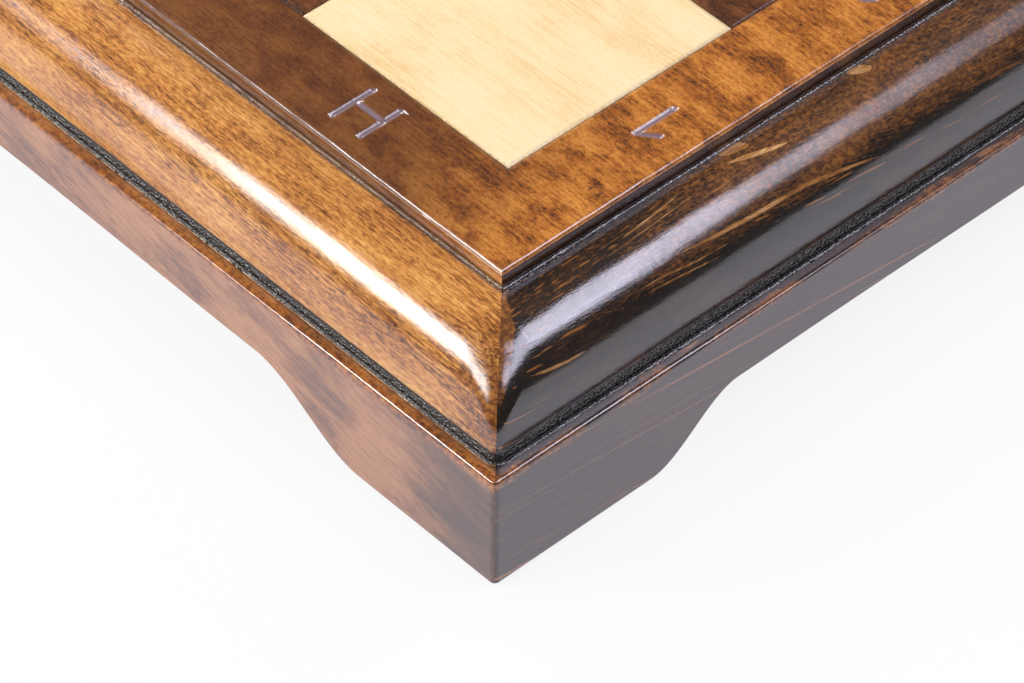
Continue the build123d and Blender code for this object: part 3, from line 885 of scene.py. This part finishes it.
makeScrews()
for name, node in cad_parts.items():
    for start, finish in (("corner_block", "block"), ("mitre_spline", "spline"), ("felt_pad", "felt")):
        if name.startswith(start):
            node.data.materials.clear()
            node.data.materials.append(finishes[finish])
print("hidden joinery finished")


# Stage

stage = {"floorHalf": 12.0, "floor": "#F4F4F4", "mirrored": "#F7F3FF", "glow": 0.88}


def makeFloor():
    # seen by the camera and in reflections it glows plain white, a little violet in the reflections
    material, add = newMaterial("pale_floor")
    path = add("LightPath")
    seen = add("Math", greater, {0: path["Is Camera Ray"], 1: path["Is Glossy Ray"]})[0]
    seen = add("Math", greater, {0: seen, 1: path["Is Transmission Ray"]})[0]
    share = add("Math", times, {0: seen, 1: stage["glow"]})[0]
    matt = add("BsdfDiffuse", {}, {"Color": linear(stage["floor"])})[0]
    tint = add("Mix", colours, {0: path["Is Camera Ray"], 6: linear(stage["mirrored"]), 7: (1, 1, 1, 1)})[2]
    glow = add("Emission", {}, {"Color": tint, "Strength": 1.0})[0]
    both = add("MixShader", {}, {0: share, 1: matt, 2: glow})[0]
    add("OutputMaterial", {}, {0: both})
    h = stage["floorHalf"]
    mesh = bpy.data.meshes.new("pale_floor")
    mesh.from_pydata([(-h, -h, 0), (h, -h, 0), (h, h, 0), (-h, h, 0)], [], [(0, 1, 2, 3)])
    mesh.materials.append(material)
    floor = bpy.data.objects.new("pale_floor", mesh)
    bpy.context.scene.collection.objects.link(floor)


makeFloor()

lamps = {
    # each softbox: centre, the point it faces, width and height in metres, roll, radiance, colour
    "keySoftbox": ((-0.367, -0.887, 0.518), (0.18, -0.2, 0.03), (0.15, 0.295), 22, 9.5, "#FFFFFF"),
    "keyTail": ((-0.056, -0.916, 0.693), (0.2, -0.2, 0.03), (0.80, 0.29), 33, 8.0, "#FFFFFF"),
    "keyEdge": ((-0.504, -0.816, 0.466), (0.18, -0.2, 0.03), (0.18, 0.295), 22, 1.1, "#FFF2F4"),
    "fillSoftbox": ((0.540, 0.360, 0.780), (0.2, -0.16, 0.03), (0.37, 0.36), 36.5, 6.1, "#ECEAFF"),
    "fillWing": ((0.691, -0.058, 0.891), (0.2, -0.2, 0.03), (0.80, 0.70), 0, 7.0, "#E8E6FF"),
    # broad ones that light the tops and the front, in directions that no visible surface mirrors
    "leftWash": ((-0.80, -0.05, 0.66), (0.1, -0.1, 0.03), (0.55, 0.50), 0, 7.2, "#FFFFFF"),
    "backWash": ((0.10, 0.85, 0.66), (0.1, -0.1, 0.03), (0.55, 0.45), 0, 6.8, "#FFFFFF"),
    "frontWash": ((-0.74, -0.80, 0.32), (0.1, -0.2, 0.03), (0.30, 0.50), 0, 4.5, "#FFFFFF"),
}
# the fill's brightness by the place up its cloth
fillGrade = [(0.0, 0.12), (0.20, 0.17), (0.34, 0.28), (0.44, 0.5), (0.56, 0.78), (0.66, 1.2), (0.78, 0.85), (1.0, 0.65)]
# card before the wing: its top and foot by the place across, its end by the place up, and the light by the
# place across
wing = {"top": [(0.019, 0.771), (0.119, 0.857), (0.219, 0.871), (0.331, 0.757), (0.431, 0.7), (0.544, 0.671),
                (0.744, 0.686), (0.956, 0.729)],
        "foot": [(0.019, 0.657), (0.083, 0.596), (0.253, 0.546), (0.465, 0.437), (0.619, 0.329), (0.761, 0.214),
                 (0.956, 0.029)],
        "end": [(0.029, 1.0), (0.243, 0.99), (0.314, 0.87), (0.863, 0.985)],
        "glow": [(0.0, 0.7), (0.4, 0.9), (0.8, 0.8), (1.0, 0.7)],
        "blur": 0.02}


def gradeLamp(light):
    # softbox whose cloth is brightest at one end: strength by the place up its height
    add = partial(addNode, clearTree(light))
    up = add("SeparateXYZ", {}, {0: add("NewGeometry")["Parametric"]})["Y"]
    strength = add("ValToRGB", {}, {"Fac": up}, fillGrade)["Color"]
    add("OutputLight", {}, {0: add("Emission", {}, {"Strength": strength})[0]})


def shapeLamp(light):
    # softbox behind a cut card: light only between the card's top and foot lines and before its end line
    add = partial(addNode, clearTree(light))
    place = add("SeparateXYZ", {}, {0: add("NewGeometry")["Parametric"]})
    across, up = place["X"], place["Y"]
    strength = add("ValToRGB", {}, {"Fac": across}, wing["glow"])["Color"]
    for key, at, value, sign in (("top", across, up, 1), ("foot", across, up, -1), ("end", up, across, 1)):
        limit = add("ValToRGB", {}, {"Fac": at}, wing[key])["Color"]
        gap = add("Math", minus, {0: limit, 1: value})[0]
        inside = add("MapRange", smooth, {"Value": gap, "From Min": -wing["blur"] * sign,
                                          "From Max": wing["blur"] * sign})[0]
        strength = add("Math", times, {0: strength, 1: inside})[0]
    add("OutputLight", {}, {0: add("Emission", {}, {"Strength": strength})[0]})


for name, (centre, target, size, roll, radiance, colour) in lamps.items():
    light = bpy.data.lights.new(name, "AREA")
    light.shape = "RECTANGLE"
    light.size, light.size_y = size
    light.color = linear(colour)[:3]
    light.energy = radiance * np.pi * size[0] * size[1]      # radiance times pi times area
    if name == "fillSoftbox":
        gradeLamp(light)
    if name == "fillWing":
        shapeLamp(light)
    lamp = bpy.data.objects.new(name, light)
    lamp.location = centre
    facing = (Vector(target) - Vector(centre)).to_track_quat("-Z", "Y").to_matrix()
    lamp.rotation_euler = (facing @ Matrix.Rotation(np.radians(roll), 3, "Z")).to_euler()
    lamp.visible_camera = False
    bpy.context.scene.collection.objects.link(lamp)

# bright at the horizon, dim above it
world = bpy.data.worlds.new("dim_studio")
add = partial(addNode, clearTree(world))
upward = add("SeparateXYZ", {}, {0: add("TexCoord")["Generated"]})["Z"]
shade = add("ValToRGB", {}, {"Fac": upward}, [(0.0, 1.0), (0.015, 0.10), (0.25, 0.06)])["Color"]
add("OutputWorld", {}, {0: add("Background", {}, {"Color": shade, "Strength": 0.8})[0]})
bpy.context.scene.world = world


# Camera: worked out from the edges in the photograph

view = {"place": (0.5808, -0.5531, 0.5485), "lens": 182.8,
        "right": (0.67874, 0.73436, 0.00487), "up": (-0.51979, 0.47572, 0.70959), "back": (0.51877, -0.48416, 0.70460)}
cameraData = bpy.data.cameras.new("photo_camera")
cameraData.sensor_width = 36
cameraData.lens = view["lens"]
cameraData.clip_end = 100
camera = bpy.data.objects.new("photo_camera", cameraData)
axes = Matrix([view["right"], view["up"], view["back"]]).transposed().to_4x4()
camera.matrix_world = Matrix.Translation(view["place"]) @ axes
bpy.context.scene.collection.objects.link(camera)
bpy.context.scene.camera = camera
bpy.context.scene.view_settings.view_transform = "Standard"
print("stage made")
